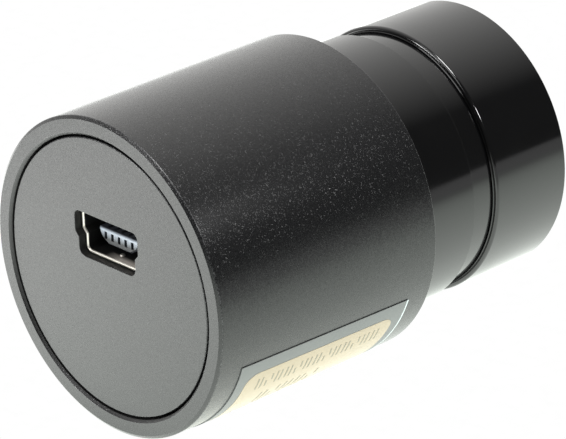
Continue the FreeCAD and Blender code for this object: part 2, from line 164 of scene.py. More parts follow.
def facets(tree, place, per_mm, tilt):
    """The surface normal, tipped a little at random in each small cell, as blasting leaves it."""
    cells = add(tree, "ShaderNodeTexVoronoi", {"Vector": place, "Scale": per_mm}, feature="F1")
    centred = add(tree, "ShaderNodeVectorMath", {
        0: cells.outputs["Color"], 1: (0.5, 0.5, 0.5)}, operation="SUBTRACT")
    tipped = add(tree, "ShaderNodeVectorMath", {0: centred.outputs[0], "Scale": tilt}, operation="SCALE")
    normal = add(tree, "ShaderNodeNewGeometry").outputs["Normal"]
    total = add(tree, "ShaderNodeVectorMath", {0: normal, 1: tipped.outputs[0]}, operation="ADD")
    return add(tree, "ShaderNodeVectorMath", {0: total.outputs[0]}, operation="NORMALIZE").outputs[0]


FACETS_PER_MM = 16.0
FACET_TILT = 0.5


def blasted_anodise():
    """Bead-blasted aluminium, anodised black: satin, with fine facets that glint in the top layer."""
    material, tree, shader = new_material("body_anodise", Metallic=0.0, IOR=1.59, Coat_Weight=0.25,
                                          Coat_Roughness=0.22, Coat_IOR=1.6)
    place = millimetres(tree)
    grain = noise(tree, place, per_mm=7.0, detail=3.0, roughness=0.6)
    clouds = noise(tree, place, per_mm=0.35, detail=3.0)
    base = blend_colours(tree, clouds, (0.0045, 0.0046, 0.0055, 1), (0.0070, 0.0071, 0.0080, 1))
    worn = maths(tree, "MULTIPLY", edge_share(tree), remap(tree, grain, 0.45, 0.65))
    colour = blend_colours(tree, worn, base, (0.13, 0.13, 0.135, 1))
    # Painted shade: hollows, such as the housing's inside and the cut-out's walls, are darker still.
    hollow = edge_share(tree, -1)
    colour = blend_colours(tree, hollow, colour, (0.002, 0.002, 0.002, 1))
    rough = maths(tree, "ADD", uneven(tree, grain, 0.24, 0.29), remap(tree, hollow, 0, 1, 0, 0.4))
    join(tree, shader, Base_Color=colour, Roughness=rough,
         Normal=bump(tree, grain, depth_mm=0.003, strength=0.3),
         Coat_Normal=facets(tree, place, FACETS_PER_MM, FACET_TILT))
    return material


def turned_anodise():
    """Fine-turned aluminium, anodised black: glossy, with faint tool lines round the axis."""
    material, tree, shader = new_material("nose_anodise", Metallic=0.0, IOR=1.74)
    lines = noise(tree, millimetres(tree, (0.02, 1, 0.02)), per_mm=14.0, detail=4.0, roughness=0.65)
    clouds = noise(tree, millimetres(tree), per_mm=0.3, detail=3.0)
    base = blend_colours(tree, clouds, (0.0035, 0.0035, 0.0038, 1), (0.005, 0.005, 0.0055, 1))
    rough = uneven(tree, clouds, 0.10, 0.13)
    join(tree, shader, Base_Color=base, Roughness=rough,
         Normal=bump(tree, lines, depth_mm=0.0008, strength=0.5))
    return material


def plain(name, colour, roughness, grain_per_mm=6.0, depth_mm=0.004, spread=0.12, **values):
    """Moulded, fired or plated stock: a colour that drifts a little, a fine grain and uneven gloss."""
    material, tree, shader = new_material(name, **values)
    place = millimetres(tree)
    grain = noise(tree, place, per_mm=grain_per_mm, detail=3.0, roughness=0.6)
    drift = noise(tree, place, per_mm=0.6, detail=2.0)
    dark = tuple(c * (1 - spread) for c in colour) + (1,)
    light = tuple(min(1, c * (1 + spread)) for c in colour) + (1,)
    join(tree, shader, Base_Color=blend_colours(tree, drift, dark, light),
         Roughness=uneven(tree, grain, roughness * 0.85, roughness * 1.15),
         Normal=bump(tree, grain, depth_mm=depth_mm, strength=0.5))
    return material


def circuit_board():
    """Green solder mask over copper tracks."""
    material, tree, shader = new_material("circuit_board", IOR=1.5)
    place = millimetres(tree)
    bricks = add(tree, "ShaderNodeTexVoronoi", {"Vector": place, "Scale": 0.9},
                 feature="DISTANCE_TO_EDGE", distance="EUCLIDEAN")
    track = remap(tree, bricks.outputs["Distance"], 0.05, 0.08)
    colour = blend_colours(tree, track, (0.035, 0.15, 0.06, 1), (0.012, 0.065, 0.03, 1))
    weave = noise(tree, place, per_mm=5.0, detail=2.0)
    join(tree, shader, Base_Color=colour, Roughness=uneven(tree, weave, 0.3, 0.42),
         Normal=bump(tree, track, depth_mm=0.02, strength=0.4))
    return material


CLEAN_GLASS = 0.02
DUSTY_GLASS = 0.08


def glass(name, tint):
    """Polished coated glass: clear, lightly tinted, with a faint film of dust."""
    material, tree, shader = new_material(name, IOR=1.5, Transmission_Weight=1.0)
    dust = noise(tree, millimetres(tree), per_mm=3.0, detail=4.0, roughness=0.7)
    join(tree, shader, Roughness=remap(tree, dust, 0.55, 0.8, CLEAN_GLASS, DUSTY_GLASS))
    shader.inputs["Base Color"].default_value = tint
    return material


def silicon():
    """The image sensor's die: a fine pixel grid with a colour sheen."""
    material, tree, shader = new_material("silicon", Metallic=0.9)
    place = millimetres(tree)
    grid = add(tree, "ShaderNodeTexChecker", {"Vector": place, "Scale": 40.0})
    tint = blend_colours(tree, grid.outputs["Fac"], (0.10, 0.16, 0.14, 1), (0.16, 0.12, 0.20, 1))
    drift = noise(tree, place, per_mm=0.4)
    join(tree, shader, Base_Color=blend_colours(tree, drift, tint, (0.12, 0.15, 0.22, 1)),
         Roughness=uneven(tree, drift, 0.16, 0.26))
    return material


# The painted highlight along the label's front edge fades in over this span, in mm from the front
FOIL_HIGHLIGHT_BAND = (-0.17, -0.13)


def foil():
    """Satin silver label foil, with a pale band along its front edge as a painted highlight."""
    material, tree, shader = new_material("label_foil", Metallic=0.35)
    grain = noise(tree, millimetres(tree, (1, 0.15, 1)), per_mm=12.0, detail=3.0)
    silver = blend_colours(tree, grain, (0.21, 0.22, 0.22, 1), (0.27, 0.28, 0.28, 1))
    front = in_mm(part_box("label_plate")[1]).y
    y = add(tree, "ShaderNodeSeparateXYZ", {"Vector": millimetres(tree)}).outputs["Y"]
    # A pale band at the front edge, called cut here: a painted highlight, not a cut edge.
    cut = remap(tree, y, front + FOIL_HIGHLIGHT_BAND[0], front + FOIL_HIGHLIGHT_BAND[1])
    join(tree, shader, Base_Color=blend_colours(tree, cut, silver, (0.85, 0.93, 0.95, 1)),
         Roughness=uneven(tree, grain, 0.38, 0.5), Normal=bump(tree, grain, depth_mm=0.002, strength=0.4))
    return material


# Painted shade inside the shell: from bright to dark over these distances, in from the mouth and along X
SHADE_DEPTH = (0.35, 0.95)
SHADE_X = (0.6, -1.2)


def shell_plating():
    """Tin-plated steel, bright at its rim, duller inside, darkened with depth and towards -X by painted
    shade.
    """
    material, tree, shader = new_material("shell_plating")
    place = millimetres(tree)
    scuffs = noise(tree, place, per_mm=4.0, detail=3.0)
    bright = blend_colours(tree, scuffs, (0.80, 0.76, 0.68, 1), (0.90, 0.87, 0.80, 1))
    mouth = in_mm(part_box("usb_shell")[0]).y
    across = add(tree, "ShaderNodeSeparateXYZ", {"Vector": place}).outputs
    shade_start, shade_end = (mouth + depth for depth in SHADE_DEPTH)
    # Painted shade: the inside darkens in from the mouth and towards -X.
    shaded = maths(tree, "MAXIMUM", remap(tree, across["Y"], shade_start, shade_end),
                    remap(tree, across["X"], *SHADE_X))
    dull = blend_colours(tree, shaded, (0.62, 0.57, 0.52, 1), (0.012, 0.012, 0.012, 1))
    inside = edge_share(tree, -1)
    join(tree, shader, Base_Color=blend_colours(tree, inside, bright, dull),
         Metallic=remap(tree, inside, 0, 1, 0.85, 0.1), Roughness=remap(tree, inside, 0, 1, 0.30, 0.42),
         Normal=bump(tree, scuffs, depth_mm=0.001, strength=0.3))
    return material


# The tongue is pale over this depth in from its tip, as painted light, and painted shade darkens it down
# this range of heights
LIT_TIP_DEPTH = (0.02, 0.12)
SHADE_HEIGHTS = (3.25, 2.55)


def socket_plastic():
    """The socket's tongue: pale on its tip face as painted light, darker lower down and behind it as
    painted shade.
    """
    material, tree, shader = new_material("socket_plastic", IOR=1.5)
    place = millimetres(tree)
    across = add(tree, "ShaderNodeSeparateXYZ", {"Vector": place}).outputs
    tip = in_mm(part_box("usb_insulator")[0]).y
    # Painted light and shade: the tip face pale, darker lower down (low) and behind the tip.
    shade_behind_tip = remap(tree, across["Y"], tip + LIT_TIP_DEPTH[0], tip + LIT_TIP_DEPTH[1])
    low = remap(tree, across["Z"], *SHADE_HEIGHTS)
    pale = blend_colours(tree, low, (0.52, 0.58, 0.67, 1), (0.04, 0.042, 0.047, 1))
    grain = noise(tree, place, per_mm=8.0, detail=3.0)
    join(tree, shader, Base_Color=blend_colours(tree, shade_behind_tip, pale, (0.05, 0.055, 0.07, 1)),
         Roughness=uneven(tree, grain, 0.34, 0.46), Normal=bump(tree, grain, depth_mm=0.002, strength=0.4))
    return material


FINISHES = {
    "body_anodise": blasted_anodise(),
    "nose_anodise": turned_anodise(),
    "adhesive_tape": plain("adhesive_tape", (0.02, 0.02, 0.02), 0.7),
    "nylon": plain("nylon", (0.70, 0.68, 0.62), 0.42),
    "black_rubber": plain("black_rubber", (0.015, 0.015, 0.015), 0.75),
    "filter_glass": glass("filter_glass", (0.80, 0.95, 0.97, 1)),
    "black_plastic": plain("black_plastic", (0.014, 0.014, 0.015), 0.55),
    "circuit_board": circuit_board(),
    "screw_steel": plain("screw_steel", (0.55, 0.55, 0.56), 0.28, Metallic=1.0),
    "ceramic": plain("ceramic", (0.17, 0.14, 0.12), 0.5),
    "silicon": silicon(),
    "sensor_glass": glass("sensor_glass", (0.95, 0.98, 0.98, 1)),
    "contact_gold": plain("contact_gold", (0.80, 0.56, 0.25), 0.25, Metallic=1.0),
    "shell_plating": shell_plating(),
    "socket_plastic": socket_plastic(),
    "chip_resin": plain("chip_resin", (0.018, 0.018, 0.019), 0.55),
    "ferrite": plain("ferrite", (0.06, 0.06, 0.065), 0.5),
    "capacitor_ceramic": plain("capacitor_ceramic", (0.40, 0.27, 0.15), 0.45),
    "label_foil": foil(),
}

LABEL_PAPER = plain("label_paper", (0.60, 0.49, 0.33), 0.55, grain_per_mm=5.0, depth_mm=0.003,
                    spread=0.03, Coat_Weight=0.5, Coat_Roughness=0.2)
LABEL_INK = plain("label_ink", (0.36, 0.34, 0.26), 0.5, grain_per_mm=8.0, depth_mm=0.002, spread=0.1)

for part in frame["record"]["subparts"]:
    shown = nodes[part["node"]]
    if not shown.material_slots:
        shown.data.materials.append(None)
    for place in shown.material_slots:
        place.material = FINISHES[part["material_slot"]]

# ---------------------------------------------------------------- mesh pieces

SEGMENTS = 192
ARC_STEPS = 5
FINE_ARC_STEPS = 2
FINE_RADIUS = 0.03
EDGE = 0.04
FINE_EDGE = 0.02


def rounded(corners):
    """Round the corners of a closed outline of (u, v, corner radius).

    Gives rows of (u, v, normal u, normal v, edge), where edge is 1 at the middle of an outer
    round, -1 at the middle of an inner one, and 0 on the flats.
    """
    area = sum(a[0] * b[1] - b[0] * a[1] for a, b in zip(corners, corners[1:] + corners[:1]))
    if area < 0:
        corners = corners[::-1]
    rows = []
    for before, corner, after in zip(corners[-1:] + corners[:-1], corners, corners[1:] + corners[:1]):
        point, radius = Vector(corner[:2]), corner[2]
        come = (point - Vector(before[:2])).normalized()
        leave = (Vector(after[:2]) - point).normalized()
        turn = math.atan2(come.x * leave.y - come.y * leave.x, come.dot(leave))
        side = 1 if turn > 0 else -1
        inward = (leave - come).normalized()
        centre = point + inward * radius / math.cos(turn / 2)
        steps = ARC_STEPS if radius > FINE_RADIUS else FINE_ARC_STEPS
        for step in range(steps + 1):
            share = step / steps
            angle = math.atan2(-come.x, come.y) + turn * share
            normal = Vector((math.cos(angle), math.sin(angle)))
            place = centre + normal * radius * side
            rows.append((place.x, place.y, normal.x, normal.y, side * math.sin(math.pi * share)))
    return rows


def mesh_piece(name, points, faces, slot, material=None, body="camera"):
    """A smooth mesh of (place in mm, normal, edge) points that rides on a body."""
    mesh = bpy.data.meshes.new(name)
    mesh.from_pydata([place * MM for place, normal, share in points], [], faces)
    mesh.shade_smooth()
    painted = mesh.attributes.new("edge", "FLOAT", "POINT")
    painted.data.foreach_set("value", [share for *_, share in points])
    mesh.normals_split_custom_set_from_vertices([normal for place, normal, share in points])
    mesh.materials.append(material or FINISHES[slot])
    piece = bpy.data.objects.new(name, mesh)
    bpy.context.scene.collection.objects.link(piece)
    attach(piece, body)
    return piece


def circle(radius):
    """A circle about the optical axis, as (x, z, outward normal x, outward normal z)."""
    points = []
    for index in range(SEGMENTS):
        angle = 2 * math.pi * index / SEGMENTS
        across = (math.cos(angle), math.sin(angle))
        points.append((across[0] * radius, across[1] * radius, *across))
    return points


def swept(rows, curve):
    """Sweep a section of (y, v, normal y, normal v, edge) rows round curve(v), one loop to a row."""
    loops = []
    for y, v, normal_y, normal_v, share in rows:
        loops.append([
            (Vector((x, y, z)), Vector((across_x * normal_v, normal_y, across_z * normal_v)), share)
            for x, z, across_x, across_z in curve(v)])
    return loops


def ring_faces(low, high, count):
    return [(low + index, low + (index + 1) % count, high + (index + 1) % count, high + index)
            for index in range(count)]


def loft(name, loops, finish, body="camera"):
    """A closed skin through loops of equally many points, the last joined to the first."""
    count = len(loops[0])
    faces = []
    for row in range(len(loops)):
        faces += ring_faces(row * count, (row + 1) % len(loops) * count, count)
    return mesh_piece(name, [point for loop in loops for point in loop], faces, finish, body=body)


# ---- housing

RIM_INNER_R = 12.13
RIM_BEVEL = 0.22
CAVITY_R = 10.9
LEDGE_DEPTH = 1.40
FRONT_WALL = 2.4
SPIGOT_R = 8.5
REAR_CHAMFER_AXIAL = 0.20
REAR_CHAMFER_RADIAL = 0.28
FRONT_CHAMFER = 0.08
REAR_EDGE_ROUND = 0.15


def make_housing():
    low, high = (in_mm(corner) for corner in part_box("housing"))
    outer, rear = high.x, low.y
    corners = [
        (rear, RIM_INNER_R, EDGE), (rear, outer - REAR_CHAMFER_RADIAL, EDGE),
        (rear + REAR_CHAMFER_AXIAL, outer, REAR_EDGE_ROUND), (0, outer, FRONT_CHAMFER),
        (0, SPIGOT_R, EDGE), (-FRONT_WALL, SPIGOT_R, EDGE),
        (-FRONT_WALL, CAVITY_R, EDGE), (rear + LEDGE_DEPTH, CAVITY_R, EDGE),
        (rear + LEDGE_DEPTH, RIM_INNER_R - RIM_BEVEL, EDGE),
        (rear + RIM_BEVEL, RIM_INNER_R - RIM_BEVEL, EDGE),
    ]
    # The housing's inside is marked -1, a hollow that its finish darkens with painted shade.
    rows = [(y, v, normal_y, normal_v, -1 if v < RIM_INNER_R - FINE_EDGE and y < -FRONT_WALL else share)
            for y, v, normal_y, normal_v, share in rounded(corners)]
    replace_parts(loft("housing_shell", swept(rows, circle), "body_anodise"), "housing")


# ---- nose: threaded front tube and sleeve

NECK_LENGTH = 6.34
NOSE_R = 11.6
UNDERCUT_R = 11.10
THREAD_R = 11.05
OPTICAL_BORE_R = 7.7
FILTER_POCKET_R = 9.3
FILTER_LEDGE = 8.0
BAFFLE_GROOVES = 9
BAFFLE_PITCH = 0.8
BAFFLE_DEPTH = 0.25
SLEEVE_REAR_ROUND = 0.30
SLEEVE_SEAM = 0.08
SLEEVE_SEAM_INSET = 0.10
APERTURE_R = 10.2
APERTURE_BEVEL = 0.30
SHOULDER_DEPTH = 3.40
EDGE_BREAK = 0.10
THREAD_PITCH = 0.5
THREAD_DEPTH = 0.24
THREAD_FADE = 0.4
ROWS_PER_PITCH = 10
# How far the bottom of a thread is marked towards a hollow, on the scale of the edge attribute
THREAD_ROOT_MARK = -0.5
SAME_PLACE = 1e-3
# A normal that leans along the axis by less than this is square to it
FLAT_NORMAL = 0.01


def with_thread_rows(rows, radii):
    """Fill the long level stretches at the given radii with rows close enough for a thread."""
    filled = []
    for row, following in zip(rows, rows[1:] + rows[:1]):
        filled.append(row)
        length = following[0] - row[0]
        level = any(abs(row[1] - radius) < SAME_PLACE and abs(following[1] - radius) < SAME_PLACE
                    for radius in radii)
        if level and abs(length) > THREAD_PITCH:
            steps = math.ceil(abs(length) * ROWS_PER_PITCH / THREAD_PITCH)
            filled += [(row[0] + length * step / steps, row[1], 0, row[3], 0) for step in range(1, steps)]
    return filled


def cut_thread(loops, radius, low, high, phase=0.0):
    """Cut a right-hand thread of rounded vees into the loops that lie at one radius."""
    for loop in loops:
        for index, (place, normal, share) in enumerate(loop):
            across = Vector((place.x, 0, place.z))
            on_thread = abs(across.length - radius) <= SAME_PLACE and low < place.y < high
            if not on_thread or abs(normal.y) > FLAT_NORMAL:
                continue
            side = 1 if normal.dot(across) > 0 else -1
            turn = 2 * math.pi * (place.y / THREAD_PITCH + index / SEGMENTS + phase)
            depth = THREAD_DEPTH * min(1, (place.y - low) / THREAD_FADE, (high - place.y) / THREAD_FADE)
            slope = depth * math.pi / THREAD_PITCH * math.sin(turn)
            across.normalize()
            sunk = (1 - math.cos(turn)) / 2
            place -= across * side * depth * sunk
            tipped = (across * side + Vector((0, slope, 0))).normalized()
            loop[index] = (place, tipped, THREAD_ROOT_MARK * depth / THREAD_DEPTH * sunk)


def make_front_tube():
    high = in_mm(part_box("front_tube")[1]).y
    sleeve_rear = in_mm(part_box("nose_sleeve")[0]).y
    corners = [
        (-FRONT_WALL, OPTICAL_BORE_R, FINE_EDGE), (-FRONT_WALL, SPIGOT_R, EDGE), (0, SPIGOT_R, FINE_EDGE),
        (0, NOSE_R, FINE_EDGE), (NECK_LENGTH, NOSE_R, EDGE), (NECK_LENGTH, UNDERCUT_R, EDGE),
        (sleeve_rear - EDGE_BREAK, UNDERCUT_R, FINE_EDGE), (sleeve_rear - EDGE_BREAK, THREAD_R, FINE_EDGE),
        (high, THREAD_R, EDGE_BREAK), (high, FILTER_POCKET_R, EDGE), (FILTER_LEDGE, FILTER_POCKET_R, EDGE),
        (FILTER_LEDGE, OPTICAL_BORE_R, FINE_EDGE),
    ]
    for index in range(BAFFLE_GROOVES):
        front = FILTER_LEDGE - BAFFLE_PITCH * (index + 0.5)
        corners += [(front, OPTICAL_BORE_R, FINE_EDGE), (front, OPTICAL_BORE_R + BAFFLE_DEPTH, FINE_EDGE),
                    (front - BAFFLE_PITCH / 2, OPTICAL_BORE_R, FINE_EDGE)]
    loops = swept(with_thread_rows(rounded(corners), (THREAD_R, FILTER_POCKET_R)), circle)
    cut_thread(loops, THREAD_R, sleeve_rear, high - EDGE_BREAK)
    cut_thread(loops, FILTER_POCKET_R, in_mm(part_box("filter_retainer_ring")[1]).y, high - EDGE)
    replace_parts(loft("threaded_front_tube", loops, "nose_anodise"), "front_tube")


def make_nose_sleeve():
    low, high = (in_mm(corner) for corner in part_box("nose_sleeve"))
    rear, front, outer = low.y, high.y, high.x
    seam_r = UNDERCUT_R + SLEEVE_SEAM_INSET
    corners = [
        (rear, UNDERCUT_R, EDGE), (rear, seam_r - SLEEVE_SEAM, FINE_EDGE),
        (rear + SLEEVE_SEAM, seam_r, FINE_EDGE), (rear, seam_r + SLEEVE_SEAM, FINE_EDGE),
        (rear, outer, SLEEVE_REAR_ROUND), (front, outer, EDGE_BREAK),
        (front, APERTURE_R + APERTURE_BEVEL, EDGE), (front - APERTURE_BEVEL, APERTURE_R, EDGE),
        (front - SHOULDER_DEPTH, APERTURE_R, EDGE),
        (front - SHOULDER_DEPTH, UNDERCUT_R, EDGE),
    ]
    loops = swept(with_thread_rows(rounded(corners), (UNDERCUT_R,)), circle)
    cut_thread(loops, UNDERCUT_R, rear + EDGE_BREAK, front - SHOULDER_DEPTH - THREAD_PITCH, 0.5)
    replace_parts(loft("threaded_nose_sleeve", loops, "nose_anodise", "nose"), "nose_sleeve")


# ---- rear cover and socket shell

SOCKET_HALF_WIDTH = 3.70
SOCKET_LOWER_HALF_WIDTH = 3.30
SOCKET_STEP_HIGH = 3.10
SOCKET_STEP_LOW = 2.64
SOCKET_UPPER_CORNER_R = 0.45
SOCKET_LOWER_CORNER_R = 0.6
SOCKET_WALL = 0.3
SOCKET_RIM_ROUND = 0.13
CUTOUT_CLEARANCE = 0.08
CUTOUT_EDGE = 0.05
COVER_FACE_R = 11.68
COVER_EDGE = 0.12
OUTLINE_STEP = 0.1
# A section normal below these belongs to the cut-out's wall, or to the inside of the shell
CUTOUT_WALL_NORMAL = -0.9
SHELL_INSIDE_NORMAL = -0.97
# How far a cutter runs past the wall that it opens, and how far cutters overlap
CUT_PAST = 0.1
CUT_OVERLAP = 0.01
FINGER_X = 1.6
FINGER_REAR = -20.74
FINGER_FRONT = -17.34
FINGER_HALF_WIDTH = 0.5
FINGER_SLIT = 0.15
FOOT_REARS = (-21.04, -15.74)
FOOT_LENGTH = 1.4
FOOT_REACH = 0.9
DIMPLE_R = 0.25
DIMPLE_HEIGHT = 0.12
DIMPLE_INSET = 1.0
DIMPLE_ROWS = 8
DIMPLE_SEGMENTS = 32


def socket_corners(grow):
    """The corners of the mini-B outline grown outwards, as (x, z, corner radius)."""
    low, high = (in_mm(corner).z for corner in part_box("usb_shell"))
    wide, narrow = SOCKET_HALF_WIDTH + grow, SOCKET_LOWER_HALF_WIDTH + grow
    right = [(narrow, low - grow, SOCKET_LOWER_CORNER_R + grow),
             (narrow, SOCKET_STEP_LOW - grow / 2, FINE_EDGE),
             (wide, SOCKET_STEP_HIGH - grow / 2, FINE_EDGE),
             (wide, high + grow, SOCKET_UPPER_CORNER_R + grow)]
    return right + [(-x, z, radius) for x, z, radius in reversed(right)]


def socket_outline(grow):
    """The mini-B outline grown outwards, as (x, z, normal x, normal z), always with as many points."""
    nominal, rows = rounded(socket_corners(0)), rounded(socket_corners(grow))
    points = []
    for index, row in enumerate(rows):
        following = (index + 1) % len(rows)
        reach = (Vector(nominal[following][:2]) - Vector(nominal[index][:2])).length
        steps = math.ceil(reach / OUTLINE_STEP)
        for step in range(steps):
            share = step / steps
            points.append(tuple(a + (b - a) * share for a, b in zip(row[:4], rows[following][:4])))
    return points


def cover_curve(v):
    """The cover's cut-out for a small v, and for a large one the circle of that radius.

    The circle's points lie on rays from the socket's centre, so the face between them is clean.
    """
    if v < 1:
        return socket_outline(v)
    middle = Vector((0, (SOCKET_STEP_HIGH + SOCKET_STEP_LOW) / 2))
    points = []
    for x, z, *_ in socket_outline(0):
        ray = (Vector((x, z)) - middle).normalized()
        along = ray.dot(middle)
        place = middle + ray * (math.sqrt(along ** 2 + v ** 2 - middle.length ** 2) - along)
        points.append((place.x, place.y, place.x / v, place.y / v))
    return points


def make_rear_cover():
    low, high = (in_mm(corner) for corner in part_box("rear_cover"))
    face, back = low.y, high.y
    section = rounded([(face, CUTOUT_CLEARANCE, CUTOUT_EDGE), (back, CUTOUT_CLEARANCE, CUTOUT_EDGE),
                       (back, high.x, EDGE), (face, COVER_FACE_R, COVER_EDGE)])
    # The cut-out's wall is marked -1, a hollow that its finish darkens with painted shade.
    wall = [(y, v, normal_y, normal_v, -1 if normal_v < CUTOUT_WALL_NORMAL else share)
            for y, v, normal_y, normal_v, share in section]
    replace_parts(loft("rear_cover_plate", swept(wall, cover_curve), "body_anodise"), "rear_cover")


BOX_FACES = [(0, 1, 3, 2), (4, 6, 7, 5), (0, 4, 5, 1), (2, 3, 7, 6), (0, 2, 6, 4), (1, 5, 7, 3)]


def box_piece(x, y, z):
    """A plain cutter or foot from three (low, high) pairs in millimetres."""
    mesh = bpy.data.meshes.new("block")
    corners = [Vector((a, b, c)) * MM for a in x for b in y for c in z]
    mesh.from_pydata(corners, [], BOX_FACES)
    block = bpy.data.objects.new("block", mesh)
    bpy.context.scene.collection.objects.link(block)
    return block


def combine(piece, others, operation):
    """Apply exact booleans to a piece and drop the others."""
    for other in others:
        modifier = piece.modifiers.new("cut", "BOOLEAN")
        modifier.operation, modifier.object, modifier.solver = operation, other, "EXACT"
    bpy.context.view_layer.update()
    shape = piece.evaluated_get(bpy.context.evaluated_depsgraph_get())
    mesh = bpy.data.meshes.new_from_object(shape)
    piece.modifiers.clear()
    piece.data = mesh
    for other in others:
        bpy.data.objects.remove(other)


def make_dimple():
    """A low bright dome on the shell's floor, just inside its mouth."""
    low = in_mm(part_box("usb_shell")[0])
    middle = Vector((0, low.y + DIMPLE_INSET, low.z + SOCKET_WALL))
    points, faces = [], []
    for row in range(DIMPLE_ROWS):
        angle = math.pi / 2 * row / DIMPLE_ROWS
        for index in range(DIMPLE_SEGMENTS):
            turn = 2 * math.pi * index / DIMPLE_SEGMENTS
            across = Vector((math.cos(turn), math.sin(turn), 0))
            place = middle + across * DIMPLE_R * math.cos(angle)
            place.z += DIMPLE_HEIGHT * math.sin(angle)
            normal = across * math.cos(angle) / DIMPLE_R + Vector((0, 0, math.sin(angle) / DIMPLE_HEIGHT))
            # Edge 0 gives the dome the shell's bright rim plating, not the duller inside with its painted
            # shade: real plating, brightened as a painted highlight.
            points.append((place, normal.normalized(), 0))
        if row:
            faces += ring_faces((row - 1) * DIMPLE_SEGMENTS, row * DIMPLE_SEGMENTS, DIMPLE_SEGMENTS)
    faces.append(tuple(reversed(range(DIMPLE_SEGMENTS))))
    faces.append(tuple(range((DIMPLE_ROWS - 1) * DIMPLE_SEGMENTS, DIMPLE_ROWS * DIMPLE_SEGMENTS)))
    mesh_piece("socket_dimple", points, faces, "shell_plating")


def make_usb_shell():
    low, high = (in_mm(corner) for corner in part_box("usb_shell"))
    section = rounded([(low.y, -SOCKET_WALL, SOCKET_RIM_ROUND), (high.y, -SOCKET_WALL, EDGE),
                       (high.y, 0, EDGE), (low.y, 0, SOCKET_RIM_ROUND)])
    # The shell's inside is marked -1: the duller plating, with painted shade.
    rows = [(y, v, normal_y, normal_v, -1 if normal_v < SHELL_INSIDE_NORMAL else 0)
            for y, v, normal_y, normal_v, share in section]
    shell = loft("socket_shell", swept(rows, socket_outline), "shell_plating")
    slits, feet = [], []
    for side in (-1, 1):
        x = side * FINGER_X
        outer = (x - FINGER_HALF_WIDTH, x + FINGER_HALF_WIDTH)
        height = (high.z - SOCKET_WALL - CUT_PAST, high.z + CUT_PAST)
        slits.append(box_piece(outer, (FINGER_REAR, FINGER_REAR + FINGER_SLIT), height))
        for edge in outer:
            inner = edge + math.copysign(FINGER_SLIT, x - edge)
            along = (FINGER_REAR + CUT_OVERLAP, FINGER_FRONT)
            slits.append(box_piece(sorted((edge, inner)), along, height))
        for rear in FOOT_REARS:
            reach = sorted((side * (SOCKET_LOWER_HALF_WIDTH - SOCKET_WALL / 2),
                            side * (SOCKET_HALF_WIDTH + FOOT_REACH)))
            feet.append(box_piece(reach, (rear, rear + FOOT_LENGTH), (low.z, low.z + SOCKET_WALL)))
    combine(shell, slits, "DIFFERENCE")
    combine(shell, feet, "UNION")
    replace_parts(shell, "usb_shell")


# ---- label

LABEL_FOIL_HEIGHT = 0.07
PRINT_HEIGHT = 0.012
LABEL_TOP_DEG = -21.1
LABEL_SWEEP_DEG = 67.9
LABEL_MIDDLE = -11.5
LABEL_SKEW = 0.022
PANEL_MARGIN_TOP = 1.42
PANEL_MARGIN_END = 1.08
PANEL_CORNER_R = 1.2
PATCH_RINGS = 16
PRINT_RINGS = 2
PATCH_STEP = 0.5
PATCH_EDGE = 0.03
# Rows of print: (top, height, pitch of the strokes, inset at the rear, inset at the front)
PRINT_ROWS = ((2.35, 1.5, 1.06, 1.5, 0.3), (5.2, 2.1, 1.4, 3.2, 4.6), (8.6, 0.8, 0.62, 1.8, 2.0),
              (10.2, 0.8, 0.62, 1.8, 4.6), (11.8, 0.8, 0.62, 1.8, 3.2))
# Shares of the pitch, and of the height for the strokes that are cut short
STROKE_WIDTH = 0.13
STROKE_LEAN = 0.14
SECOND_STROKE = 0.45
SHORT_STROKE = 0.45
SHORT_EVERY = 3


def on_body(s, y, height, radius):
    """A point at arc length s down from the label's top edge, and its outward normal.

    The label sits a little askew.
    """
    angle = math.radians(LABEL_TOP_DEG) - (s + (y - LABEL_MIDDLE) * LABEL_SKEW) / radius
    across = Vector((math.cos(angle), 0, math.sin(angle)))
    return across * (radius + height) + Vector((0, y, 0)), across


def patch(corners, base, top, radius, rings=PATCH_RINGS):
    """A thin sheet wrapped on the body: points and faces for an outline of (s, y, corner radius)."""
    outline = []
    rows = rounded(corners)
    for row, following in zip(rows, rows[1:] + rows[:1]):
        steps = math.ceil((Vector(following[:2]) - Vector(row[:2])).length / PATCH_STEP)
        for step in range(max(1, steps)):
            share = step / max(1, steps)
            outline.append(tuple(a + (b - a) * share for a, b in zip(row[:4], following[:4])))
    middle = sum((Vector(point[:2]) for point in outline), Vector((0, 0))) / len(outline)
    count = len(outline)
    points, faces = [], []

    def ring(scale, height, side, facing):
        for s, y, normal_s, normal_y in outline:
            at = middle + (Vector((s, y)) - middle) * scale
            place, up = on_body(at.x, at.y, height, radius)
            down = Vector((up.z, 0, -up.x))
            flat = down * normal_s + Vector((0, normal_y, 0))
            points.append((place, (flat if side else up * facing).normalized(), 0))
        return len(points) - count

    scales = [1 - max(index, PATCH_EDGE) / rings for index in range(rings)]
    loops = [ring(scale, base, False, -1) for scale in reversed(scales)]
    loops += [ring(1, base, True, 1), ring(1, top, True, 1)]
    loops += [ring(scale, top, False, 1) for scale in scales]
    for low, high in zip(loops, loops[1:]):
        faces += ring_faces(low, high, count)
    faces.append(tuple(reversed(range(loops[0], loops[0] + count))))
    faces.append(tuple(range(loops[-1], loops[-1] + count)))
    return points, faces


def rectangle(s_low, s_high, y_low, y_high, corner_radius):
    return [(s_low, y_low, corner_radius), (s_high, y_low, corner_radius),
            (s_high, y_high, corner_radius), (s_low, y_high, corner_radius)]


def slanted(s_low, s_high, y, width, lean):
    """A short leaning stroke of print."""
    return [(s_low, y, FINE_EDGE), (s_high, y + lean, FINE_EDGE), (s_high, y + lean + width, FINE_EDGE),
            (s_low, y + width, FINE_EDGE)]


